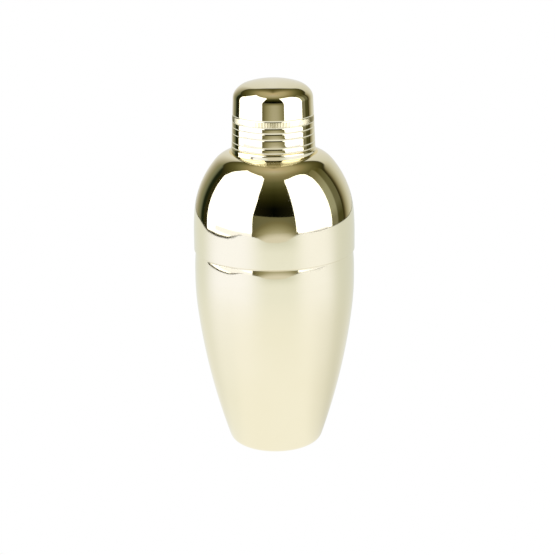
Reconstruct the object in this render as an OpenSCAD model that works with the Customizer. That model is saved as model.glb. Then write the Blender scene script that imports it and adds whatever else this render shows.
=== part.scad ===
// Three-piece cocktail shaker: a tapered cup, a domed strainer lid that slips over its mouth,
// and a domed cap that slips over the strainer's neck. All three are drawn from thin sheet.
// Millimetres, +Z up, origin on the axis at the plane that the cup stands on.

/* [Sheet and fits] */
// Thickness of the drawn sheet
sheet = 0.8; // [0.7:0.05:0.85]
// Radial gap where one piece slips over another
slip_gap = 0.08; // [0.05:0.01:0.1]

/* [Cup] */
// Widest radius of the cup
cup_r = 41.74; // [41.7:0.01:41.8]
// Height of the widest place
cup_widest_z = 92; // [90:0.5:94]
// Radius of the long, slightly bowed side
side_arc_r = 348; // [330:2:380]
// Radius of the rounder stretch just below the widest place
hip_arc_r = 148; // [130:2:170]
// Angle that the rounder stretch turns through
hip_angle = 6.85; // [6:0.05:7.5]
// Height where the cup starts to narrow towards its mouth
neck_in_z = 96; // [95.5:0.1:96]
// Radius of that narrowing
neck_in_arc_r = 95; // [90:1:96]
// Slope from the vertical that the narrowing ends with
neck_in_angle = 5.7; // [5.7:0.1:6.2]
// Radius between the side and the base
base_corner_r = 5.75; // [4:0.25:7]
// Radius of the raised panel in the base
base_panel_r = 15; // [12:0.5:16]
// Height of the raised panel above the standing plane
base_panel_rise = 1.2; // [0.6:0.1:2]
// Height of the cup's mouth
mouth_z = 118; // [114:0.5:118.5]

/* [Strainer lid] */
// Outer radius of the skirt
skirt_r = 42; // [41.95:0.01:42.1]
// Height of the skirt's lower edge
skirt_foot_z = 107; // [107:0.1:108]
// Height where the straight skirt ends
skirt_top_z = 115.5; // [114.5:0.1:116]
// Radius of the slow bend between the skirt and the dome
ease_arc_r = 146; // [130:2:160]
// Angle that the slow bend turns through
ease_angle = 4.5; // [4:0.1:5]
// Radius of the dome
dome_arc_r = 48; // [46:0.5:50]
// Angle at which the dome gives way to the crown
dome_angle = 40; // [38:0.5:42]
// Radius of the crown around the neck
crown_arc_r = 14; // [12:0.5:16]
// Height of the collar at the root of the neck, above the crown
collar_h = 2.8; // [2.5:0.1:3]
// How far the collar stands out past the cap's lower edge
collar_proud = 0.2; // [0.1:0.05:0.3]
// Radius of the collar's upper edge
collar_corner_r = 1.2; // [1.1:0.05:1.4]
// Height of the strainer plate above the collar
neck_h = 22.4; // [19:0.1:23]
// Radius between the neck and the strainer plate
neck_corner_r = 3; // [2:0.25:4]
// Diameter of each strainer hole
strainer_hole_d = 3.2; // [2.5:0.1:3.8]
// Distance between the rings of strainer holes
strainer_pitch = 5.4; // [5:0.1:5.6]
// Rings of holes around the middle hole
strainer_rings = 2; // [1:1:2]

/* [Cap] */
// Height of the cap from its lower edge to the top of its crown
cap_h = 34.75; // [33:0.05:37]
// Radius of the cap at its shoulder
cap_shoulder_r = 20.6; // [20.4:0.05:20.8]
// Slope of the cap's wall and of the neck from the vertical
taper = 2.3; // [1.8:0.1:2.6]
// Radius of the tight bend at the top of the cap's wall
cap_bend_r = 5.9; // [5:0.1:7]
// Slope where the tight bend ends
cap_bend_angle = 36; // [32:1:38]
// Radius of the wider corner between the bend and the crown
cap_corner_r = 10.6; // [10:0.1:11]
// Radius of the cap's crown
cap_crown_arc_r = 46; // [44:1:50]
// Height of the lowest rolled groove above the cap's lower edge
groove_1_h = 2.8; // [2.5:0.1:4]
// Height of the second groove
groove_2_h = 7.2; // [6:0.1:8]
// Height of the third groove
groove_3_h = 10.5; // [9.5:0.1:11]
// Height of the groove under the knurled band
groove_4_h = 13.3; // [12.5:0.1:14]
// Height of the groove above the knurled band
groove_5_h = 16.8; // [16:0.1:18]
// Radius of a groove's section
groove_section_r = 1.2; // [1:0.1:1.5]
// Depth of a groove
groove_depth = 0.2; // [0.1:0.05:0.25]

/* [Hidden] */
$fn = 256;
pale_gold = [0.93, 0.88, 0.70];
deep_gold = [0.90, 0.82, 0.58];
rest_gap = 0.03;        // left where an edge rests on another piece
arc_tolerance = 0.01;
first_ring_holes = 6;   // and the next ring has twice as many
groove_heights = [groove_1_h, groove_2_h, groove_3_h, groove_4_h, groove_5_h];

// Cup: centres of its arcs, as [radius, height], each arc tangent to the next
hip_c = [cup_r - hip_arc_r, cup_widest_z];
side_c = hip_c - (side_arc_r - hip_arc_r) * [cos(hip_angle), -sin(hip_angle)];
neck_in_c = [cup_r - neck_in_arc_r, neck_in_z];
corner_reach = side_arc_r - base_corner_r;
corner_drop = side_c.y - base_corner_r;
corner_c = [side_c.x + sqrt(pow(corner_reach, 2) - pow(corner_drop, 2)), base_corner_r];
corner_angle = asin(corner_drop / corner_reach);
mouth_r = skirt_r - sheet - slip_gap;
cup_edge_z = mouth_z - sheet / 2;

// Lid: centres of its arcs, each arc tangent to the next
ease_c = [skirt_r - ease_arc_r, skirt_top_z];
dome_c = ease_c + (ease_arc_r - dome_arc_r) * [cos(ease_angle), sin(ease_angle)];
crown_c = dome_c + (dome_arc_r - crown_arc_r) * [cos(dome_angle), sin(dome_angle)];
collar_top_z = crown_c.y + crown_arc_r + collar_h;
collar_corner_z = collar_top_z - collar_corner_r;
skirt_edge_z = skirt_foot_z + sheet / 2;

// Cap: its rounded lower edge rests on the collar's rounded upper edge
edge_reach = collar_corner_r + sheet / 2 + rest_gap;
edge_offset = collar_corner_r - collar_proud - sheet / 2;
cap_edge_z = collar_corner_z + sqrt(pow(edge_reach, 2) - pow(edge_offset, 2));
cap_foot_z = cap_edge_z - sheet / 2;
cap_crown_c = [0, cap_foot_z + cap_h - cap_crown_arc_r];
cap_bend_step = (cap_corner_r - cap_bend_r) * [cos(cap_bend_angle), sin(cap_bend_angle)];
cap_corner_x = cap_shoulder_r - cap_bend_r - cap_bend_step.x;
cap_corner_reach = cap_crown_arc_r - cap_corner_r;
cap_corner_c = cap_crown_c + [cap_corner_x, sqrt(pow(cap_corner_reach, 2) - pow(cap_corner_x, 2))];
cap_crown_angle = acos(cap_corner_x / cap_corner_reach);
cap_bend_c = cap_corner_c + cap_bend_step;

// Radius of the cap's tapered wall at a height, moved inwards by inset
function wall_r(z, inset) =
    cap_bend_c.x + (cap_bend_r - inset - (z - cap_bend_c.y) * sin(taper)) / cos(taper);

// Neck: the same taper, one sheet and one slip gap inside the cap
collar_r = wall_r(cap_foot_z, 0) + collar_proud;
neck_inset = sheet + slip_gap;
plate_z = collar_top_z + neck_h;
neck_corner_z = plate_z - neck_corner_r;
neck_corner_c = [wall_r(neck_corner_z, neck_inset + neck_corner_r), neck_corner_z];

// Points along an arc, close enough together that no chord strays further than arc_tolerance
function arc(centre, r, from_angle, to_angle) =
    let (steps = ceil(abs(to_angle - from_angle) / (2 * acos(1 - arc_tolerance / r))))
    [for (i = [0:steps]) let (a = from_angle + (to_angle - from_angle) * i / steps)
        centre + r * [cos(a), sin(a)]];

// End of the narrowing arc, from where a short cone runs on to the straight mouth
function cone_start(inset) =
    neck_in_c + (neck_in_arc_r - inset) * [cos(neck_in_angle), sin(neck_in_angle)];

// Height where that cone meets the straight mouth
function cone_end_z(inset) =
    cone_start(inset).y + (cone_start(inset).x - mouth_r + inset) / tan(neck_in_angle);

// Half round edge of the sheet, from the inner radius to the outer one, above or below z
module sheet_edge(inner_r, outer_r, z, from_angle) {
    polygon(arc([(inner_r + outer_r) / 2, z], (outer_r - inner_r) / 2, from_angle, from_angle + 180));
}

// Cup filled up to top_z, with every surface moved inwards by inset.
// The raised panel of its base slopes down to the standing ring at 45 degrees.
module cup_region(inset, top_z) {
    panel_edge_r = base_panel_r + inset * tan(22.5);
    polygon(concat(
        [[0, base_panel_rise + inset]],
        [[panel_edge_r, base_panel_rise + inset]],
        [[panel_edge_r + base_panel_rise, inset]],
        arc(corner_c, base_corner_r - inset, -90, -corner_angle),
        arc(side_c, side_arc_r - inset, -corner_angle, -hip_angle),
        arc(hip_c, hip_arc_r - inset, -hip_angle, 0),
        arc(neck_in_c, neck_in_arc_r - inset, 0, neck_in_angle),
        [[mouth_r - inset, cone_end_z(inset)]],
        [[mouth_r - inset, top_z]],
        [[0, top_z]]
    ));
}

module body_cup() {
    color(pale_gold) rotate_extrude() {
        difference() {
            cup_region(0, cup_edge_z);
            cup_region(sheet, cup_edge_z + 1);
        }
        sheet_edge(mouth_r - sheet, mouth_r, cup_edge_z, 0);
    }
}

// Skirt and dome, filled, with every surface moved inwards by inset
module dome_region(inset, foot_z) {
    polygon(concat(
        [[0, foot_z]],
        [[skirt_r - inset, foot_z]],
        arc(ease_c, ease_arc_r - inset, 0, ease_angle),
        arc(dome_c, dome_arc_r - inset, ease_angle, dome_angle),
        arc(crown_c, crown_arc_r - inset, dome_angle, 90),
        [[0, crown_c.y + crown_arc_r - inset]]
    ));
}

// Neck and strainer plate, filled, with every surface moved inwards by inset
module neck_region(inset) {
    polygon(concat(
        [[0, crown_c.y]],
        [[wall_r(crown_c.y, neck_inset + inset), crown_c.y]],
        arc(neck_corner_c, neck_corner_r - inset, taper, 90),
        [[0, plate_z - inset]]
    ));
}

// Collar at the root of the neck, filled, with every surface moved inwards by inset
module collar_region(inset) {
    polygon(concat(
        [[0, crown_c.y]],
        [[collar_r - inset, crown_c.y]],
        arc([collar_r - collar_corner_r, collar_corner_z], collar_corner_r - inset, 0, 90),
        [[0, collar_top_z - inset]]
    ));
}

module lid_region(inset, foot_z) {
    dome_region(inset, foot_z);
    collar_region(inset);
    neck_region(inset);
}

// One hole in the middle and a ring of holes at each step outwards
module strainer_holes() {
    for (ring = [0:strainer_rings]) {
        count = max(1, ring * first_ring_holes);
        for (i = [0:count - 1])
            rotate([0, 0, 360 * i / count])
                translate([ring * strainer_pitch, 0, plate_z - 2 * sheet])
                    cylinder(h = 3 * sheet, d = strainer_hole_d);
    }
}

module strainer_lid() {
    color(deep_gold) difference() {
        rotate_extrude() {
            difference() {
                lid_region(0, skirt_edge_z);
                lid_region(sheet, skirt_edge_z - 1);
            }
            sheet_edge(skirt_r - sheet, skirt_r, skirt_edge_z, 180);
        }
        strainer_holes();
    }
}

// Cap, filled down to foot_z, with every surface moved inwards by inset
module cap_region(inset, foot_z) {
    polygon(concat(
        [[0, foot_z]],
        [[wall_r(cap_edge_z, inset), foot_z]],
        [[wall_r(cap_edge_z, inset), cap_edge_z]],
        arc(cap_bend_c, cap_bend_r - inset, taper, cap_bend_angle),
        arc(cap_corner_c, cap_corner_r - inset, cap_bend_angle, cap_crown_angle),
        arc(cap_crown_c, cap_crown_arc_r - inset, cap_crown_angle, 90)
    ));
}

// Rolled grooves around the lower half of the cap
module cap_grooves() {
    for (h = groove_heights) {
        z = cap_foot_z + h;
        translate([wall_r(z, groove_depth - groove_section_r), z]) circle(groove_section_r);
    }
}

module cap() {
    color(pale_gold) rotate_extrude() {
        difference() {
            cap_region(0, cap_edge_z);
            cap_region(sheet, cap_edge_z - 1);
            cap_grooves();
        }
        sheet_edge(wall_r(cap_edge_z, sheet), wall_r(cap_edge_z, 0), cap_edge_z, 180);
    }
}

body_cup();
strainer_lid();
cap();
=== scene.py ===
import math

import bpy
from mathutils import Matrix, Vector
from mathutils.geometry import delaunay_2d_cdt

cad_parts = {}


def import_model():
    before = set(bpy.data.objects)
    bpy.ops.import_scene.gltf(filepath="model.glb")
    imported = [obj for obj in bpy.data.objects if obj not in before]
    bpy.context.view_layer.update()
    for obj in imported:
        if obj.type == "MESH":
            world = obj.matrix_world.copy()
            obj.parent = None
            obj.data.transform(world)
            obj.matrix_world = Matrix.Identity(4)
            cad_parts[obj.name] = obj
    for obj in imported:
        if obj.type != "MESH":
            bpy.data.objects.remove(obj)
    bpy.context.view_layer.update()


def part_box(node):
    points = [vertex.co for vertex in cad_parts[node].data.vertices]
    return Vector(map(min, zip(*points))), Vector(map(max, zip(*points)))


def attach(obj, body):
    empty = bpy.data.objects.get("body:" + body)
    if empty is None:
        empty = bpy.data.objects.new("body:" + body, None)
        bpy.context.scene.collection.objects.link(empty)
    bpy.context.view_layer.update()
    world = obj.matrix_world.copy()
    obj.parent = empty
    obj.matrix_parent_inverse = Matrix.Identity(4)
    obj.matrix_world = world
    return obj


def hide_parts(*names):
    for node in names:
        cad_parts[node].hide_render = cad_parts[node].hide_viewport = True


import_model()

# The looks of a three-piece cocktail shaker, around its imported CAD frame.
# Lengths are metres unless a name ends in _MM, and angles are degrees. The axis is Z.
MM = 0.001

# ---------------------------------------------------------------- sizes from the frame
_, CUP_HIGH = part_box("body_cup")
LID_LOW, LID_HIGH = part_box("strainer_lid")
CAP_LOW, CAP_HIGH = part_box("cap")
CUP_R = CUP_HIGH.x
SKIRT_R = LID_HIGH.x
SKIRT_FOOT_Z = LID_LOW.z
MOUTH_Z = CUP_HIGH.z
PLATE_Z = LID_HIGH.z
CAP_FOOT_Z = CAP_LOW.z
CAP_TOP_Z = CAP_HIGH.z

# ---------------------------------------------------------------- sizes of the drawn sheet
SHEET = 0.8 * MM
SLIP_GAP = 0.08 * MM
MOUTH_R = SKIRT_R - SHEET - SLIP_GAP

# Cup
WIDEST_Z = 92 * MM
SIDE_ARC_R = 348 * MM
HIP_ARC_R = 148 * MM
HIP_ANGLE = 6.85
NECK_IN_Z = 96 * MM
NECK_IN_ARC_R = 95 * MM
NECK_IN_ANGLE = 5.7
BASE_CORNER_R = 5.75 * MM
BASE_PANEL_R = 15 * MM
BASE_PANEL_RISE = 1.2 * MM
BASE_PANEL_SLOPE = 45
PANEL_EDGE_SOFTEN = 0.2 * MM
PANEL_EDGE_DIAGONAL = 0.14 * MM     # the same softening, along each axis of the sloping edge
MOUTH_EDGE_SOFTEN = 0.2 * MM

# Strainer lid
SKIRT_TOP_Z = 115.5 * MM
EASE_ARC_R = 146 * MM
EASE_ANGLE = 4.5
DOME_ARC_R = 48 * MM
DOME_ANGLE = 40
CROWN_ARC_R = 14 * MM
COLLAR_H = 2.8 * MM
COLLAR_PROUD = 0.2 * MM
COLLAR_CORNER_R = 1.2 * MM
COLLAR_TOP_ANGLE = 84
NECK_ROOT_RISE = 0.15 * MM
NECK_CORNER_R = 3 * MM
HOLE_R = 1.6 * MM
HOLE_PITCH = 5.4 * MM
HOLE_RINGS = 2
HOLE_SOFTEN = 0.2 * MM
HOLE_LIP_R = HOLE_R + HOLE_SOFTEN + 0.1 * MM

# Cap
CAP_SHOULDER_R = 20.6 * MM
TAPER = 2.3
CAP_BEND_R = 5.9 * MM
CAP_BEND_ANGLE = 36
CAP_CORNER_R = 10.6 * MM
CAP_CROWN_ARC_R = 46 * MM
GROOVE_HEIGHTS = [2.8 * MM, 7.2 * MM, 10.5 * MM, 13.3 * MM, 16.8 * MM]
GROOVE_DEPTH = 0.16 * MM
GROOVE_HALF_WIDTH = 0.3 * MM
BAND_SWELL = 0.03 * MM
KNURL_RIBS = 168
KNURL_DEPTH = 0.13 * MM
KNURL_CLEAR = 1.6 * GROOVE_HALF_WIDTH

# Finishes, and the painted reflection in the crevice, in the order of every piece's material slots
OUTSIDE, RIM, INSIDE, CREVICE = range(4)
CREVICE_ANGLE = 77

# Mesh density
CHORD = 1.2 * MM
FINE_CHORD = 0.5 * MM
LEAST_STEP = 0.02 * MM
GROOVE_STEPS = 10
CHORD_ANGLE = 6
SAME_POINT = 1e-6
ON_AXIS_R = 1e-7
ALL_TRIANGLES = 0
WELD = 1e-9
SHARP_ANGLE = 40
SEGMENTS = 256
CAP_SEGMENTS = KNURL_RIBS * 4
HOLE_SEGMENTS = 32


# ---------------------------------------------------------------- outlines
def polar(centre, radius, angle):
    """Point at an angle in degrees from the outward direction."""
    a = math.radians(angle)
    return centre[0] + radius * math.cos(a), centre[1] + radius * math.sin(a)


def arc(centre, radius, start, end):
    """Points along an arc, close enough together to look round."""
    turn = math.radians(abs(end - start))
    steps = max(1, math.ceil(turn * radius / CHORD), math.ceil(math.degrees(turn) / CHORD_ANGLE))
    return [polar(centre, radius, start + (end - start) * i / steps) for i in range(steps + 1)]


def line(start, end, chord=CHORD):
    """Points along a straight stretch."""
    length = math.dist(start, end)
    steps = max(1, math.ceil(length / chord))
    return [
        (start[0] + (end[0] - start[0]) * i / steps, start[1] + (end[1] - start[1]) * i / steps)
        for i in range(steps + 1)
    ]


def joined(*stretches):
    """One run of points, with the shared ends of neighbouring stretches kept once."""
    points = []
    for stretch in stretches:
        for p in stretch:
            if not points or math.dist(points[-1], p) > SAME_POINT:
                points.append(p)
    return points


def sheet_edge(inner_r, outer_r, z, start, end):
    """Half-round edge of the sheet."""
    return arc(((inner_r + outer_r) / 2, z), (outer_r - inner_r) / 2, start, end)


# ---------------------------------------------------------------- cup outline
HIP_C = (CUP_R - HIP_ARC_R, WIDEST_Z)
SIDE_C = polar(HIP_C, HIP_ARC_R - SIDE_ARC_R, -HIP_ANGLE)
NECK_IN_C = (CUP_R - NECK_IN_ARC_R, NECK_IN_Z)
CORNER_REACH = SIDE_ARC_R - BASE_CORNER_R
CORNER_DROP = SIDE_C[1] - BASE_CORNER_R
CORNER_C = (SIDE_C[0] + math.sqrt(CORNER_REACH**2 - CORNER_DROP**2), BASE_CORNER_R)
CORNER_ANGLE = math.degrees(math.asin(CORNER_DROP / CORNER_REACH))


def cup_wall(inset):
    """The cup from its axis at the base to its mouth, moved inwards by inset."""
    panel_z = BASE_PANEL_RISE + inset
    panel_edge_r = BASE_PANEL_R + inset * math.tan(math.radians(BASE_PANEL_SLOPE / 2))
    slope_end_r = panel_edge_r + BASE_PANEL_RISE
    mouth_r = MOUTH_R - inset
    cone = polar(NECK_IN_C, NECK_IN_ARC_R - inset, NECK_IN_ANGLE)
    cone_end_z = cone[1] + (cone[0] - mouth_r) / math.tan(math.radians(NECK_IN_ANGLE))
    return joined(
        line((0, panel_z), (panel_edge_r - PANEL_EDGE_SOFTEN, panel_z)),
        line((panel_edge_r + PANEL_EDGE_DIAGONAL, panel_z - PANEL_EDGE_DIAGONAL),
             (slope_end_r - PANEL_EDGE_DIAGONAL, inset + PANEL_EDGE_DIAGONAL)),
        [(slope_end_r + PANEL_EDGE_SOFTEN, inset)],
        arc(CORNER_C, BASE_CORNER_R - inset, -90, -CORNER_ANGLE),
        arc(SIDE_C, SIDE_ARC_R - inset, -CORNER_ANGLE, -HIP_ANGLE),
        arc(HIP_C, HIP_ARC_R - inset, -HIP_ANGLE, 0),
        line((CUP_R - inset, WIDEST_Z), (CUP_R - inset, NECK_IN_Z)),
        arc(NECK_IN_C, NECK_IN_ARC_R - inset, 0, NECK_IN_ANGLE),
        line(cone, (mouth_r, cone_end_z)),
        line((mouth_r, cone_end_z + MOUTH_EDGE_SOFTEN), (mouth_r, MOUTH_Z - SHEET / 2)),
    )


def cup_outline():
    return [
        (OUTSIDE, cup_wall(0)),
        (RIM, sheet_edge(MOUTH_R - SHEET, MOUTH_R, MOUTH_Z - SHEET / 2, 0, 180)),
        (INSIDE, cup_wall(SHEET)[::-1]),
    ]


# ---------------------------------------------------------------- cap outline
CAP_EDGE_Z = CAP_FOOT_Z + SHEET / 2
CAP_CROWN_C = (0, CAP_TOP_Z - CAP_CROWN_ARC_R)
CAP_BEND_STEP = polar((0, 0), CAP_CORNER_R - CAP_BEND_R, CAP_BEND_ANGLE)
CAP_CORNER_X = CAP_SHOULDER_R - CAP_BEND_R - CAP_BEND_STEP[0]
CAP_CORNER_REACH = CAP_CROWN_ARC_R - CAP_CORNER_R
CAP_CORNER_C = (CAP_CORNER_X, CAP_CROWN_C[1] + math.sqrt(CAP_CORNER_REACH**2 - CAP_CORNER_X**2))
CAP_CROWN_ANGLE = math.degrees(math.acos(CAP_CORNER_X / CAP_CORNER_REACH))
CAP_BEND_C = (CAP_CORNER_X + CAP_BEND_STEP[0], CAP_CORNER_C[1] + CAP_BEND_STEP[1])


def wall_r(z, inset):
    """Radius of the cap's tapered wall at a height, moved inwards by inset."""
    taper = math.radians(TAPER)
    return CAP_BEND_C[0] + (CAP_BEND_R - inset - (z - CAP_BEND_C[1]) * math.sin(taper)) / math.cos(taper)


def relief(z):
    """Rolled grooves in the cap's wall, with a slight swell of the bands between them."""
    h = z - CAP_FOOT_Z
    depth = sum(math.exp(-(((h - middle) / GROOVE_HALF_WIDTH) ** 2)) for middle in GROOVE_HEIGHTS)
    swell = 0
    for low, high in zip([0] + GROOVE_HEIGHTS, GROOVE_HEIGHTS):
        if low < h < high:
            swell = math.sin(math.pi * (h - low) / (high - low))
    return BAND_SWELL * swell - GROOVE_DEPTH * depth


def wall_heights(top):
    """Heights down the cap's wall, close together at every groove."""
    heights = {top, CAP_EDGE_Z}
    heights.update(z for _, z in line((0, top), (0, CAP_EDGE_Z), FINE_CHORD))
    for middle in GROOVE_HEIGHTS:
        for i in range(-GROOVE_STEPS, GROOVE_STEPS + 1):
            heights.add(CAP_FOOT_Z + middle + i * 0.25 * GROOVE_HALF_WIDTH)
    ordered = sorted((z for z in heights if CAP_EDGE_Z <= z <= top), reverse=True)
    return [z for i, z in enumerate(ordered) if i == 0 or ordered[i - 1] - z > LEAST_STEP]


def cap_shell(inset, grooved):
    """The cap from the middle of its crown down to its edge, moved inwards by inset."""
    shoulder = polar(CAP_BEND_C, CAP_BEND_R - inset, TAPER)
    foot = (wall_r(CAP_EDGE_Z, inset), CAP_EDGE_Z)
    wall = line(shoulder, foot)
    if grooved:
        wall = [(wall_r(z, inset) + relief(z), z) for z in wall_heights(shoulder[1])]
    return joined(
        arc(CAP_CROWN_C, CAP_CROWN_ARC_R - inset, 90, CAP_CROWN_ANGLE),
        arc(CAP_CORNER_C, CAP_CORNER_R - inset, CAP_CROWN_ANGLE, CAP_BEND_ANGLE),
        arc(CAP_BEND_C, CAP_BEND_R - inset, CAP_BEND_ANGLE, TAPER),
        wall,
    )


def cap_outline():
    return [
        (OUTSIDE, cap_shell(0, True)),
        (RIM, sheet_edge(wall_r(CAP_EDGE_Z, SHEET), wall_r(CAP_EDGE_Z, 0), CAP_EDGE_Z, 0, -180)),
        (INSIDE, cap_shell(SHEET, False)[::-1]),
    ]


def knurl(z, angle):
    """Fine ribs pressed into the band between the two upper grooves."""
    low = CAP_FOOT_Z + GROOVE_HEIGHTS[-2]
    high = CAP_FOOT_Z + GROOVE_HEIGHTS[-1]
    edge = min(z - low, high - z) - KNURL_CLEAR * 0.5
    share = min(1.0, max(0.0, edge / (KNURL_CLEAR * 0.5)))
    return -KNURL_DEPTH * share * (0.5 - 0.5 * math.cos(KNURL_RIBS * angle))


# ---------------------------------------------------------------- strainer lid outline
EASE_C = (SKIRT_R - EASE_ARC_R, SKIRT_TOP_Z)
DOME_C = polar(EASE_C, EASE_ARC_R - DOME_ARC_R, EASE_ANGLE)
CROWN_C = polar(DOME_C, DOME_ARC_R - CROWN_ARC_R, DOME_ANGLE)
COLLAR_R = wall_r(CAP_FOOT_Z, 0) + COLLAR_PROUD
COLLAR_TOP_Z = CROWN_C[1] + CROWN_ARC_R + COLLAR_H
COLLAR_C = (COLLAR_R - COLLAR_CORNER_R, COLLAR_TOP_Z - COLLAR_CORNER_R)
NECK_INSET = SHEET + SLIP_GAP
NECK_CORNER_Z = PLATE_Z - NECK_CORNER_R
NECK_CORNER_C = (wall_r(NECK_CORNER_Z, NECK_INSET + NECK_CORNER_R), NECK_CORNER_Z)


def lid_outside():
    """From the strainer plate to the skirt's edge: neck and collar, crevice, dome and skirt."""
    crown_top = math.degrees(math.acos((COLLAR_R - CROWN_C[0]) / CROWN_ARC_R))
    root = polar(CROWN_C, CROWN_ARC_R, crown_top)
    neck_r = wall_r(COLLAR_TOP_Z, NECK_INSET)
    collar_top = math.degrees(math.acos(max(-1, (neck_r - COLLAR_C[0]) / COLLAR_CORNER_R)))
    collar = arc(COLLAR_C, COLLAR_CORNER_R, min(collar_top, COLLAR_TOP_ANGLE), 0)
    above = joined(
        arc(NECK_CORNER_C, NECK_CORNER_R, 90, TAPER),
        line(polar(NECK_CORNER_C, NECK_CORNER_R, TAPER), (neck_r, collar[0][1] + NECK_ROOT_RISE)),
        collar,
        line((COLLAR_R, COLLAR_C[1]), root, FINE_CHORD),
    )
    # The crevice below the collar gets the painted reflection colour.
    crevice = arc(CROWN_C, CROWN_ARC_R, crown_top, CREVICE_ANGLE)
    below = joined(
        arc(CROWN_C, CROWN_ARC_R, CREVICE_ANGLE, DOME_ANGLE),
        arc(DOME_C, DOME_ARC_R, DOME_ANGLE, EASE_ANGLE),
        arc(EASE_C, EASE_ARC_R, EASE_ANGLE, 0),
        line((SKIRT_R, SKIRT_TOP_Z), (SKIRT_R, SKIRT_FOOT_Z + SHEET / 2)),
    )
    return above, crevice, below


def lid_inside():
    """The same from the skirt's edge up to the underside of the strainer plate."""
    collar_r = COLLAR_R - SHEET
    crown_top = math.degrees(math.acos((collar_r - CROWN_C[0]) / (CROWN_ARC_R - SHEET)))
    root = polar(CROWN_C, CROWN_ARC_R - SHEET, crown_top)
    inner_neck_r = wall_r(COLLAR_TOP_Z, NECK_INSET + SHEET)
    return joined(
        line((SKIRT_R - SHEET, SKIRT_FOOT_Z + SHEET / 2), (SKIRT_R - SHEET, SKIRT_TOP_Z)),
        arc(EASE_C, EASE_ARC_R - SHEET, 0, EASE_ANGLE),
        arc(DOME_C, DOME_ARC_R - SHEET, EASE_ANGLE, DOME_ANGLE),
        arc(CROWN_C, CROWN_ARC_R - SHEET, DOME_ANGLE, crown_top),
        line(root, (collar_r, COLLAR_C[1]), FINE_CHORD),
        arc(COLLAR_C, COLLAR_CORNER_R - SHEET, 0, 90),
        line((inner_neck_r, COLLAR_TOP_Z - SHEET), polar(NECK_CORNER_C, NECK_CORNER_R - SHEET, TAPER)),
        arc(NECK_CORNER_C, NECK_CORNER_R - SHEET, TAPER, 90),
    )


def lid_outline():
    above, crevice, below = lid_outside()
    return [
        (OUTSIDE, above),
        (CREVICE, crevice),
        (OUTSIDE, below),
        (RIM, sheet_edge(SKIRT_R - SHEET, SKIRT_R, SKIRT_FOOT_Z + SHEET / 2, 0, -180)),
        (INSIDE, lid_inside()),
    ]


# ---------------------------------------------------------------- meshes
class Skin:
    """Collects vertices and faces, with one material number per face."""

    def __init__(self):
        self.vertices = []
        self.faces = []
        self.materials = []

    def ring(self, r, z, segments, relief=None, centre=(0, 0)):
        """One vertex on the axis, or a closed ring of them. Returns their numbers."""
        first = len(self.vertices)
        if r < ON_AXIS_R:
            self.vertices.append((centre[0], centre[1], z))
            return [first]
        for i in range(segments):
            a = 2 * math.pi * i / segments
            local_r = r + (relief(z, a) if relief else 0)
            self.vertices.append((centre[0] + local_r * math.cos(a), centre[1] + local_r * math.sin(a), z))
        return list(range(first, first + segments))

    def face(self, corners, material):
        self.faces.append(corners)
        self.materials.append(material)

    def bridge(self, lower, upper, material):
        """Faces between two neighbouring rings."""
        n = max(len(lower), len(upper))
        for i in range(n):
            j = (i + 1) % n
            if len(lower) == 1:
                self.face((lower[0], upper[j], upper[i]), material)
            elif len(upper) == 1:
                self.face((lower[i], lower[j], upper[0]), material)
            else:
                self.face((lower[i], lower[j], upper[j], upper[i]), material)

    def build(self, name, materials):
        mesh = bpy.data.meshes.new(name)
        mesh.from_pydata(self.vertices, [], self.faces)
        mesh.polygons.foreach_set("material_index", self.materials)
        mesh.polygons.foreach_set("use_smooth", [True] * len(self.faces))
        for material in materials:
            mesh.materials.append(material)
        mesh.update()
        mesh.set_sharp_from_angle(angle=math.radians(SHARP_ANGLE))
        obj = bpy.data.objects.new(name, mesh)
        bpy.context.scene.collection.objects.link(obj)
        return obj


def lathe(skin, outline, segments, relief=None):
    """Turns the outline's stretches about the axis. Returns the first and last ring."""
    section = [p for _, stretch in outline for p in stretch]
    # Positive when the outline runs anticlockwise, which decides the side that the faces look to
    area = sum(a[0] * b[1] - b[0] * a[1] for a, b in zip(section, section[1:] + section[:1]))
    rings = []
    for material, stretch in outline:
        points = stretch if not rings else stretch[1:]
        for r, z in points:
            rings.append(skin.ring(r, z, segments, relief if material == OUTSIDE else None))
            if len(rings) > 1:
                before, after = rings[-2:] if area > 0 else rings[:-3:-1]
                skin.bridge(before, after, material)
    return rings[0], rings[-1]


def hole_places():
    """Centres of the strainer holes: one in the middle and a ring at each step outwards."""
    places = []
    for step in range(HOLE_RINGS + 1):
        count = max(1, 6 * step)
        for i in range(count):
            a = 2 * math.pi * i / count
            places.append((step * HOLE_PITCH * math.cos(a), step * HOLE_PITCH * math.sin(a)))
    return places


def plate_face(skin, rim, hole_rims, z, upwards, material):
    """Flat face of the strainer plate between its rim and the rims of its holes."""
    loops = [rim] + hole_rims
    numbers = [v for loop in loops for v in loop]
    flat = [Vector(skin.vertices[v][:2]) for v in numbers]
    edges, first = [], 0
    for loop in loops:
        n = len(loop)
        edges += [(first + i, first + (i + 1) % n) for i in range(n)]
        first += n
    points, _, triangles, origin, _, _ = delaunay_2d_cdt(flat, edges, [], ALL_TRIANGLES, WELD)
    for triangle in triangles:
        middle = sum((points[v] for v in triangle), Vector((0, 0))) / 3
        if any((middle - Vector(c)).length < HOLE_LIP_R for c in hole_places()):
            continue
        a, b, c = (points[v] for v in triangle)
        counter = (b - a).cross(c - a) > 0
        corners = [numbers[origin[v][0]] for v in triangle]
        skin.face(tuple(corners if counter == upwards else corners[::-1]), material)


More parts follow.
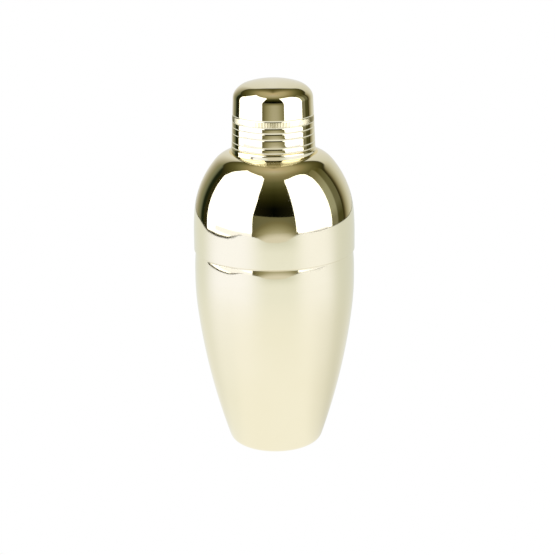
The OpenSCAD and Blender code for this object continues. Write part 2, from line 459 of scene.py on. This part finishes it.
def strainer_plate(skin, top_rim, low_rim):
    """The plate that closes the neck, with a soft edge round every hole."""
    edge_r = HOLE_R + HOLE_SOFTEN
    top_loops, low_loops = [], []
    for centre in hole_places():
        steps = [(HOLE_LIP_R, PLATE_Z)]
        steps += arc((edge_r, PLATE_Z - HOLE_SOFTEN), HOLE_SOFTEN, 90, 180)
        steps += arc((edge_r, PLATE_Z - SHEET + HOLE_SOFTEN), HOLE_SOFTEN, 180, 270)
        steps += [(HOLE_LIP_R, PLATE_Z - SHEET)]
        rings = [skin.ring(r, z, HOLE_SEGMENTS, centre=centre) for r, z in steps]
        for i in range(len(rings) - 1):
            skin.bridge(rings[i], rings[i + 1], RIM)
        top_loops.append(rings[0])
        low_loops.append(rings[-1])
    plate_face(skin, top_rim, top_loops, PLATE_Z, True, OUTSIDE)
    plate_face(skin, low_rim, low_loops, PLATE_Z - SHEET, False, INSIDE)


def cup_piece(materials):
    skin = Skin()
    lathe(skin, cup_outline(), SEGMENTS)
    return finish_piece(skin.build("cup", materials), "cup", "body_cup")


def lid_piece(materials):
    skin = Skin()
    top_rim, low_rim = lathe(skin, lid_outline(), SEGMENTS)
    strainer_plate(skin, top_rim, low_rim)
    return finish_piece(skin.build("strainer_lid_shell", materials), "lid", "strainer_lid")


def cap_piece(materials):
    skin = Skin()
    lathe(skin, cap_outline(), CAP_SEGMENTS, knurl)
    return finish_piece(skin.build("cap_shell", materials), "cap", "cap")


def finish_piece(obj, body, node):
    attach(obj, body)
    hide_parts(node)
    return obj


# ---------------------------------------------------------------- materials
# Noise of the gold's tone, smudges, polishing lines and waviness
TONE_SCALE, TONE_DETAIL = 38, 4
TONE_DARK_AT, TONE_FULL_AT = 0.3, 0.7
SMUDGE_SCALE, SMUDGE_DETAIL, SMUDGE_TWIST = 90, 6, 0.6
SMUDGE_FROM, SMUDGE_TO = 0.35, 0.75
LINES_STRETCH = (25, 25, 2600)
LINES_DETAIL = 3
WAVE_SCALE, WAVE_DETAIL = 55, 1


def nodes_of(material):
    material.use_nodes = True
    tree = material.node_tree
    tree.nodes.clear()
    return tree, tree.nodes, tree.links


def gold(name, colour, deep_colour, roughness, smudge, lines, waviness):
    """Plated metal: tone and gloss that vary a little, polishing lines and a slight waviness."""
    material = bpy.data.materials.new(name)
    tree, nodes, links = nodes_of(material)
    out = nodes.new("ShaderNodeOutputMaterial")
    shader = nodes.new("ShaderNodeBsdfPrincipled")
    shader.inputs["Metallic"].default_value = 1.0
    place = nodes.new("ShaderNodeTexCoord")

    tone = nodes.new("ShaderNodeTexNoise")
    tone.inputs["Scale"].default_value = TONE_SCALE
    tone.inputs["Detail"].default_value = TONE_DETAIL
    links.new(place.outputs["Object"], tone.inputs["Vector"])
    tint = nodes.new("ShaderNodeValToRGB")
    tint.color_ramp.elements[0].position = TONE_DARK_AT
    tint.color_ramp.elements[0].color = (*deep_colour, 1)
    tint.color_ramp.elements[1].position = TONE_FULL_AT
    tint.color_ramp.elements[1].color = (*colour, 1)
    links.new(tone.outputs["Fac"], tint.inputs["Fac"])
    links.new(tint.outputs["Color"], shader.inputs["Base Color"])

    smear = nodes.new("ShaderNodeTexNoise")
    smear.inputs["Scale"].default_value = SMUDGE_SCALE
    smear.inputs["Detail"].default_value = SMUDGE_DETAIL
    smear.inputs["Distortion"].default_value = SMUDGE_TWIST
    links.new(place.outputs["Object"], smear.inputs["Vector"])
    gloss = nodes.new("ShaderNodeMapRange")
    gloss.inputs["From Min"].default_value = SMUDGE_FROM
    gloss.inputs["From Max"].default_value = SMUDGE_TO
    gloss.inputs["To Min"].default_value = roughness
    gloss.inputs["To Max"].default_value = roughness + smudge
    links.new(smear.outputs["Fac"], gloss.inputs["Value"])
    links.new(gloss.outputs["Result"], shader.inputs["Roughness"])

    stretch = nodes.new("ShaderNodeMapping")
    stretch.inputs["Scale"].default_value = LINES_STRETCH
    links.new(place.outputs["Object"], stretch.inputs["Vector"])
    polish = nodes.new("ShaderNodeTexNoise")
    polish.inputs["Scale"].default_value = 1
    polish.inputs["Detail"].default_value = LINES_DETAIL
    links.new(stretch.outputs["Vector"], polish.inputs["Vector"])
    fine = nodes.new("ShaderNodeBump")
    fine.inputs["Strength"].default_value = 1
    fine.inputs["Distance"].default_value = lines
    links.new(polish.outputs["Fac"], fine.inputs["Height"])

    swell = nodes.new("ShaderNodeTexNoise")
    swell.inputs["Scale"].default_value = WAVE_SCALE
    swell.inputs["Detail"].default_value = WAVE_DETAIL
    links.new(place.outputs["Object"], swell.inputs["Vector"])
    broad = nodes.new("ShaderNodeBump")
    broad.inputs["Strength"].default_value = 1
    broad.inputs["Distance"].default_value = waviness
    links.new(swell.outputs["Fac"], broad.inputs["Height"])
    links.new(fine.outputs["Normal"], broad.inputs["Normal"])
    links.new(broad.outputs["Normal"], shader.inputs["Normal"])

    links.new(shader.outputs["BSDF"], out.inputs["Surface"])
    return material


POLISHED = gold(
    "gold_polished", (0.905, 0.847, 0.631), (0.895, 0.835, 0.612),
    roughness=0.035, smudge=0.03, lines=0.0003 * MM, waviness=0.02 * MM,
)
EDGE = gold(
    "gold_edge", (0.86, 0.79, 0.58), (0.83, 0.75, 0.53),
    roughness=0.12, smudge=0.06, lines=0.001 * MM, waviness=0.01 * MM,
)
SATIN = gold(
    "gold_satin", (0.85, 0.78, 0.58), (0.80, 0.72, 0.50),
    roughness=0.24, smudge=0.08, lines=0.003 * MM, waviness=0.02 * MM,
)
# Painted reflection: a deeper, more saturated gold in the crevice under the collar stands in for the crevice
# reflecting the cap and neck.
CREVICE_REFLECTION = gold(
    "gold_painted_crevice_reflection", (0.88, 0.74, 0.36), (0.84, 0.68, 0.29),
    roughness=0.05, smudge=0.05, lines=0.0003 * MM, waviness=0.02 * MM,
)


# ---------------------------------------------------------------- stage
# Apart from the softboxes, these glowing panels are no lamps: their tones are painted light and shade of the
# table, the floor, the walls and the ceiling, as the gold reflects them.
GLOW = "glow"
SOFTBOX_LIGHT = (2.1, 2.1, 2.1)
FOOT_LIGHT = (1.13, 1.13, 1.28)
FOOT_START_R = 0.70
FOOT_END_R = 0.93
STUDIO_CENTRE = Vector((0, 0, 0.14))
SOFTBOX_R = 3.0
WALL_R = 3.6
PAPER_R = 6
PAPER_Z = -0.5 * MM
PAPER_SIDES = 96
BACKDROP_R = 6.2
BACKDROP_SEGMENTS = 48
PANEL_FOOT = -16        # lowest elevation of the floor and the walls
GROUND_DROP = MM        # floor close to the table, below the table's top
PANEL_BEHIND = 0.2      # panels that stand behind the softboxes
RIM_TONE = (0.05, 0.042, 0.02)


def glowing(name, from_vertices):
    """Light-giving surface: plain white, or in the tones painted on its vertices."""
    material = bpy.data.materials.new(name)
    tree, nodes, links = nodes_of(material)
    out = nodes.new("ShaderNodeOutputMaterial")
    glow = nodes.new("ShaderNodeEmission")
    glow.inputs["Strength"].default_value = 1
    glow.inputs["Color"].default_value = (1.0, 1.0, 1.0, 1)
    if from_vertices:
        paint = nodes.new("ShaderNodeAttribute")
        paint.attribute_name = GLOW
        links.new(paint.outputs["Color"], glow.inputs["Color"])
    links.new(glow.outputs["Emission"], out.inputs["Surface"])
    return material


def unseen(obj):
    """Lights the object and shows in its reflections, but the camera looks through it."""
    obj.visible_camera = False
    obj.visible_shadow = False


def only_seen(obj):
    """Only the camera sees it."""
    for ray in ("diffuse", "glossy", "transmission", "volume_scatter", "shadow"):
        setattr(obj, "visible_" + ray, False)


def direction(azimuth, elevation):
    """Unit vector. Azimuth 0 points to the front, and 90 to the right."""
    a, e = math.radians(azimuth), math.radians(elevation)
    return Vector((math.sin(a) * math.cos(e), -math.cos(a) * math.cos(e), math.sin(e)))


def blend(value, steps):
    """Colour at a value, from (value, colour) steps in rising order."""
    for (low, first), (high, second) in zip(steps, steps[1:]):
        if value < high:
            share = max(0.0, (value - low) / (high - low))
            return tuple(a + share * (b - a) for a, b in zip(first, second))
    return steps[-1][1]


def mixed(first, second, share):
    return tuple(a + share * (b - a) for a, b in zip(first, second))


def away(azimuth, centre):
    """Angle between two azimuths, from 0 to 180."""
    return abs((azimuth - centre + 180) % 360 - 180)


def lit_grid(name, points, tones, columns, material):
    """Mesh over rows of points, with a tone on every vertex."""
    faces = []
    for a in range(len(points) - columns):
        if a % columns < columns - 1:
            faces.append((a, a + 1, a + 1 + columns, a + columns))
    mesh = bpy.data.meshes.new(name)
    mesh.from_pydata(points, [], faces)
    paint = mesh.color_attributes.new(GLOW, "FLOAT_COLOR", "POINT")
    paint.data.foreach_set("color", [v for tone in tones for v in (*tone, 1.0)])
    mesh.materials.append(material)
    obj = bpy.data.objects.new(name, mesh)
    bpy.context.scene.collection.objects.link(obj)
    unseen(obj)
    return obj


def panel(name, rows, tone, material, radius, lean=0, columns=33):
    """Curved panel round the object. Each row is an elevation and the azimuths of its two ends."""
    points, tones = [], []
    for elevation, start, end in rows:
        for i in range(columns):
            azimuth = start + (end - start) * i / (columns - 1)
            points.append(STUDIO_CENTRE + radius * direction(azimuth, elevation + lean * azimuth))
            tones.append(tone(azimuth, elevation))
    return lit_grid(name, points, tones, columns, material)


def softbox_tone(azimuth, elevation):
    return SOFTBOX_LIGHT


# Floor in front of the table: its tone by elevation, and a lighter pool close to the table by distance
FRONT_STEPS = [
    (-9, (0.50, 0.47, 0.36)),
    (-6, (0.425, 0.40, 0.28)),
    (-3, (0.34, 0.315, 0.19)),
    (1, (0.26, 0.24, 0.13)),
    (5, (0.19, 0.168, 0.08)),
    (10, (0.157, 0.148, 0.077)),
]
POOL_LIGHT = (0.74, 0.71, 0.64)
POOL_START_R = 0.60
POOL_FADE_R = 0.80
POOL_END_R = 1.05
POOL_AZIMUTH = 5
POOL_HALF_WIDTH = 30
POOL_DEPTH = 12
POOL_ROUNDING = 0.25
CORNER_SHADE = 0.3
CORNER_AZIMUTH = 33
DARKEST_SHADE = 0.3
FLOOR_NEAR = -9

# Ceiling over the camera, at the sides and behind, by elevation
CEILING_FRONT = [
    (22, (0.001, 0.0015, 0.0008)),
    (30, (0.011, 0.011, 0.002)),
    (38, (0.026, 0.025, 0.006)),
    (46, (0.057, 0.055, 0.016)),
    (54, (0.116, 0.112, 0.045)),
    (62, (0.27, 0.24, 0.13)),
    (70, (0.43, 0.40, 0.26)),
    (78, (0.52, 0.46, 0.35)),
    (90, (0.55, 0.45, 0.28)),
]
CEILING_SIDE = [
    (28, (0.03, 0.027, 0.008)),
    (38, (0.072, 0.065, 0.018)),
    (46, (0.11, 0.10, 0.034)),
    (54, (0.19, 0.175, 0.075)),
    (62, (0.31, 0.26, 0.13)),
    (70, (0.43, 0.38, 0.22)),
    (90, (0.55, 0.45, 0.28)),
]
CEILING_BACK = [
    (28, (0.03, 0.027, 0.01)),
    (70, (0.11, 0.095, 0.03)),
    (82, (0.24, 0.21, 0.10)),
    (90, (0.55, 0.45, 0.28)),
]

# Back wall: its tone by the angle from straight behind, left and right, and its top edge
WALL_LEFT = [
    (0, (0.81, 0.81, 0.81)),
    (15, (0.76, 0.75, 0.70)),
    (30, (0.46, 0.43, 0.34)),
    (40, (0.27, 0.26, 0.16)),
    (48, (0.18, 0.19, 0.12)),
    (54, (0.012, 0.017, 0.006)),
]
WALL_RIGHT = [
    (0, (0.81, 0.81, 0.81)),
    (15, (0.76, 0.75, 0.70)),
    (30, (0.70, 0.70, 0.64)),
    (40, (0.62, 0.60, 0.50)),
    (48, (0.43, 0.41, 0.30)),
    (54, (0.27, 0.24, 0.14)),
    (59, (0.05, 0.04, 0.01)),
]
WALL_TOP = [(0, (48,)), (20, (45,)), (32, (36,)), (45, (27,))]
WALL_TOP_BLUR = 1.5
WALL_REACH = 60
BACK_REACH = 45
SIDE_AZIMUTH = 90


def room_tone(azimuth, elevation):
    """Tone of the room behind the softboxes in one direction."""
    behind = away(azimuth, 180)
    turn = min(1, away(azimuth, 0) / SIDE_AZIMUTH)
    side = mixed(blend(elevation, CEILING_FRONT), blend(elevation, CEILING_SIDE), turn)
    ceiling = mixed(blend(elevation, CEILING_BACK), side, min(1, behind / BACK_REACH))
    if behind > WALL_REACH:
        return ceiling
    wall = blend(behind, WALL_LEFT if azimuth < 0 else WALL_RIGHT)
    top = blend(behind, WALL_TOP)[0]
    return mixed(wall, ceiling, min(1, max(0, (elevation - top + WALL_TOP_BLUR) / (2 * WALL_TOP_BLUR))))


def front_tone(azimuth, elevation):
    rise = POOL_DEPTH * ((azimuth - POOL_AZIMUTH) / POOL_HALF_WIDTH) ** 2
    shade = max(DARKEST_SHADE, 1 - CORNER_SHADE * (azimuth / CORNER_AZIMUTH) ** 4)
    return tuple(shade * v for v in blend(elevation + rise, FRONT_STEPS))


def pool_tone(azimuth, reach):
    """The pool fades outwards and sideways into the floor's own tone."""
    reach += POOL_ROUNDING * ((azimuth - POOL_AZIMUTH) / POOL_HALF_WIDTH) ** 2
    share = min(1, max(0, (reach - POOL_FADE_R) / (POOL_END_R - POOL_FADE_R)))
    return mixed(POOL_LIGHT, front_tone(azimuth, FLOOR_NEAR), share)


# Grey wall beside the right softbox, and the darker one behind it, by elevation
NEAR_STRIP = [
    (-4, (0.21, 0.20, 0.125)),
    (4, (0.34, 0.34, 0.235)),
    (24, (0.33, 0.33, 0.215)),
    (38, (0.22, 0.20, 0.105)),
    (46, (0.17, 0.16, 0.07)),
]
FAR_STRIP = [
    (-4, (0.07, 0.066, 0.022)),
    (6, (0.15, 0.145, 0.08)),
    (24, (0.14, 0.135, 0.065)),
    (38, (0.09, 0.08, 0.022)),
    (46, (0.12, 0.11, 0.04)),
]
STRIP_EDGE = 102
STRIP_BLUR = 2


def strip_tone(azimuth, elevation):
    share = min(1, max(0, (azimuth - STRIP_EDGE) / STRIP_BLUR))
    return mixed(blend(elevation, NEAR_STRIP), blend(elevation, FAR_STRIP), share)


# Light on the table by azimuth: centre, half-width and what it adds. The lobes grow with the
# distance from the shaker, the near dims fade with it, and the front fades towards the edge.
TABLE_LOBES = [
    (-66, 42, (0.18, 0.18, 0.38)),
    (62, 30, (0.13, 0.12, 0.21)),
]
TABLE_DIMS = [
    (132, 48, (-0.16, -0.16, -0.19)),
    (-140, 45, (-0.10, -0.10, -0.13)),
]
TABLE_NEAR = (1.0, 1.0, 1.01)
TABLE_FAR = (0.90, 0.925, 0.94)
NEAR_DIMS = [
    (92, 36, (-0.11, -0.11, -0.13)),
    (-88, 30, (-0.05, -0.04, -0.04)),
]
NEAR_R = 0.06
FAR_R = 0.35
FRONT_FADE = (5, 27, (-0.17, -0.17, -0.22))
FADE_START_R = 0.42
FADE_END_R = 0.63

# Table's edge: distance from the shaker by azimuth, and the dark rim's width
TABLE_EDGE = [
    (-180, (0.60,)), (-150, (0.62,)), (-130, (0.63,)), (-116, (0.60,)), (-105, (0.575,)), (-83, (0.58,)),
    (-67, (0.60,)), (-58, (0.66,)), (-50, (0.76,)), (-42, (0.80,)), (-34, (0.79,)), (-28, (0.78,)),
    (-22, (0.75,)), (-17, (0.69,)), (-10, (0.64,)), (5, (0.63,)), (15, (0.655,)), (24, (0.76,)),
    (31, (0.85,)), (40, (0.87,)), (50, (0.85,)), (65, (0.80,)), (90, (0.76,)), (130, (0.68,)), (180, (0.60,)),
]
RIM_WIDTH = [
    (-180, (0.02,)), (-118, (0.02,)), (-108, (0.035,)), (-95, (0.05,)), (-60, (0.05,)), (-50, (0.02,)),
    (-42, (0.0,)), (28, (0.0,)), (33, (0.06,)), (38, (0.01,)), (50, (0.015,)), (75, (0.025,)), (180, (0.02,)),
]
TABLE_COLUMNS = 181
TABLE_ROWS = [0, 0.03, 0.06, 0.1, 0.15, 0.2, 0.3, 0.4, 0.5, 0.6, 0.7, 0.8, 0.9, 1]
RIM_GAP = 0.5 * MM


def table_tone(azimuth, reach):
    """Tone of the table at a distance from the shaker."""
    far = min(1, max(0, (reach - NEAR_R) / (FAR_R - NEAR_R)))
    fade = min(1, max(0, (reach - FADE_START_R) / (FADE_END_R - FADE_START_R)))
    tone = mixed(TABLE_NEAR, TABLE_FAR, far)
    for pools, strength in ((TABLE_LOBES, far), (TABLE_DIMS, 1), (NEAR_DIMS, 1 - far), ([FRONT_FADE], fade)):
        for centre, half_width, change in pools:
            share = strength * math.exp(-((away(azimuth, centre) / half_width) ** 4))
            tone = tuple(t + share * c for t, c in zip(tone, change))
    return tone


def table(material):
    """White table round the shaker, with a thin dark rim."""
    points, tones, rim_points = [], [], []
    for share in TABLE_ROWS:
        for i in range(TABLE_COLUMNS):
            azimuth = -180 + 360 * i / (TABLE_COLUMNS - 1)
            reach = share * blend(azimuth, TABLE_EDGE)[0]
            points.append(reach * direction(azimuth, 0))
            tones.append(table_tone(azimuth, reach))
    for outer in (False, True):
        for i in range(TABLE_COLUMNS):
            azimuth = -180 + 360 * i / (TABLE_COLUMNS - 1)
            width = 2 * RIM_GAP + blend(azimuth, RIM_WIDTH)[0] if outer else RIM_GAP
            reach = width + blend(azimuth, TABLE_EDGE)[0]
            rim_points.append(reach * direction(azimuth, 0))
    lit_grid("table", points, tones, TABLE_COLUMNS, material)
    lit_grid("table_rim", rim_points, [RIM_TONE] * len(rim_points), TABLE_COLUMNS, material)


def ground_patch(name, azimuths, reaches, tone, material, columns=34, rows=10):
    """Part of the floor just outside the table, a little below the table's top."""
    points, tones = [], []
    for row in range(rows):
        for i in range(columns):
            azimuth = azimuths[0] + (azimuths[1] - azimuths[0]) * i / (columns - 1)
            reach = reaches[0] + (reaches[1] - reaches[0]) * row / (rows - 1)
            points.append(reach * direction(azimuth, 0) - Vector((0, 0, GROUND_DROP)))
            tones.append(tone(azimuth, reach))
    lit_grid(name, points, tones, columns, material)


def foot_tone(azimuth, reach):
    return FOOT_LIGHT


def flat_disc(name, radius, z, material):
    """Round floor that only the camera sees."""
    place = (0, 0, z)
    bpy.ops.mesh.primitive_circle_add(vertices=PAPER_SIDES, radius=radius, fill_type="NGON", location=place)
    return plain_stage(name, material)


def backdrop(name, radius, material):
    """Pale dome far behind everything, for the camera alone."""
    rings = BACKDROP_SEGMENTS // 2
    bpy.ops.mesh.primitive_uv_sphere_add(segments=BACKDROP_SEGMENTS, ring_count=rings, radius=radius)
    return plain_stage(name, material)


def plain_stage(name, material):
    obj = bpy.context.object
    obj.name = name
    obj.data.materials.append(material)
    only_seen(obj)
    return obj


# Outlines of the softboxes: elevation and the azimuths of the two ends, from the foot upwards
LEFT_SOFTBOX = [
    (-14, -31, -110), (10, -31, -110), (30, -27, -110), (36, -27, -105),
    (48, -25, -97), (58, -25, -92.5), (60.5, -34, -92),
]
RIGHT_SOFTBOX = [
    (-14, 32, 90), (10, 30, 89), (30, 28, 88), (40, 27, 86),
    (48, 26, 80), (53, 25, 70), (56, 26, 45),
]
FRONT_HALF_WIDTH = 42
FRONT_TOP = 11.3
FRONT_LEAN = -0.03
STRIP_ENDS = (86, 117)
STRIP_ELEVATIONS = range(-14, 47, 2)
ROOM_ELEVATIONS = range(PANEL_FOOT, 91, 2)
ROOM_COLUMNS = 91
POOL_ENDS = (-31, 33)
LEFT_FOOT_ENDS = (-90, -31)
RIGHT_FOOT_ENDS = (33, 80)


def ground(light):
    """The table and what lies on the floor just outside it."""
    table(light)
    ground_patch("floor_pool", POOL_ENDS, (POOL_START_R, POOL_END_R), pool_tone, light)
    ground_patch("left_foot", LEFT_FOOT_ENDS, (FOOT_START_R, FOOT_END_R), foot_tone, light)
    ground_patch("right_foot", RIGHT_FOOT_ENDS, (FOOT_START_R, FOOT_END_R), foot_tone, light)


def room(light):
    """Softboxes, the floor in front, the wall at the right and the two halves of the room."""
    panel("left_softbox", LEFT_SOFTBOX, softbox_tone, light, SOFTBOX_R)
    panel("right_softbox", RIGHT_SOFTBOX, softbox_tone, light, SOFTBOX_R)
    heights = [*range(PANEL_FOOT, 12), FRONT_TOP]
    front = [(height, -FRONT_HALF_WIDTH, FRONT_HALF_WIDTH) for height in heights]
    panel("front_floor", front, front_tone, light, SOFTBOX_R + PANEL_BEHIND, lean=FRONT_LEAN)
    strips = [(height, *STRIP_ENDS) for height in STRIP_ELEVATIONS]
    panel("right_wall", strips, strip_tone, light, SOFTBOX_R + PANEL_BEHIND)
    for name, far_end in (("room_right", 180), ("room_left", -180)):
        half = [(height, 0, far_end) for height in ROOM_ELEVATIONS]
        panel(name, half, room_tone, light, WALL_R, columns=ROOM_COLUMNS)


def studio():
    paper = glowing("studio_paper", False)
    flat_disc("floor", PAPER_R, PAPER_Z, paper)
    backdrop("backdrop", BACKDROP_R, paper)
    light = glowing("studio_light", True)
    ground(light)
    room(light)


WORLD_TONE = (0.02, 0.018, 0.01, 1)


def world():
    """Nearly black room outside the studio's walls."""
    made = bpy.data.worlds.new("studio_dark")
    bpy.context.scene.world = made
    made.use_nodes = True
    glow = made.node_tree.nodes["Background"]
    glow.inputs["Color"].default_value = WORLD_TONE
    glow.inputs["Strength"].default_value = 1


# ---------------------------------------------------------------- camera
CAMERA_PLACE = (0, -954.5 * MM, 389 * MM)
CAMERA_PITCH = 0.3032       # radians below level
CAMERA_ROLL = -0.0101
CAMERA_LENS_MM = 123.15
CAMERA_SHIFT = 0.005
SENSOR_MM = 36


def camera():
    data = bpy.data.cameras.new("camera")
    data.lens = CAMERA_LENS_MM
    data.sensor_width = SENSOR_MM
    data.shift_x = CAMERA_SHIFT
    obj = bpy.data.objects.new("camera", data)
    turn = Matrix.Rotation(math.pi / 2 - CAMERA_PITCH, 4, "X") @ Matrix.Rotation(CAMERA_ROLL, 4, "Z")
    obj.matrix_world = Matrix.Translation(CAMERA_PLACE) @ turn
    bpy.context.scene.collection.objects.link(obj)
    bpy.context.scene.camera = obj


finishes_and_crevice_reflection = [POLISHED, EDGE, SATIN, CREVICE_REFLECTION]
cup_piece(finishes_and_crevice_reflection)
lid_piece(finishes_and_crevice_reflection)
cap_piece(finishes_and_crevice_reflection)
studio()
world()
camera()
bpy.context.scene.view_settings.view_transform = "Standard"

bpy.context.view_layer.update()
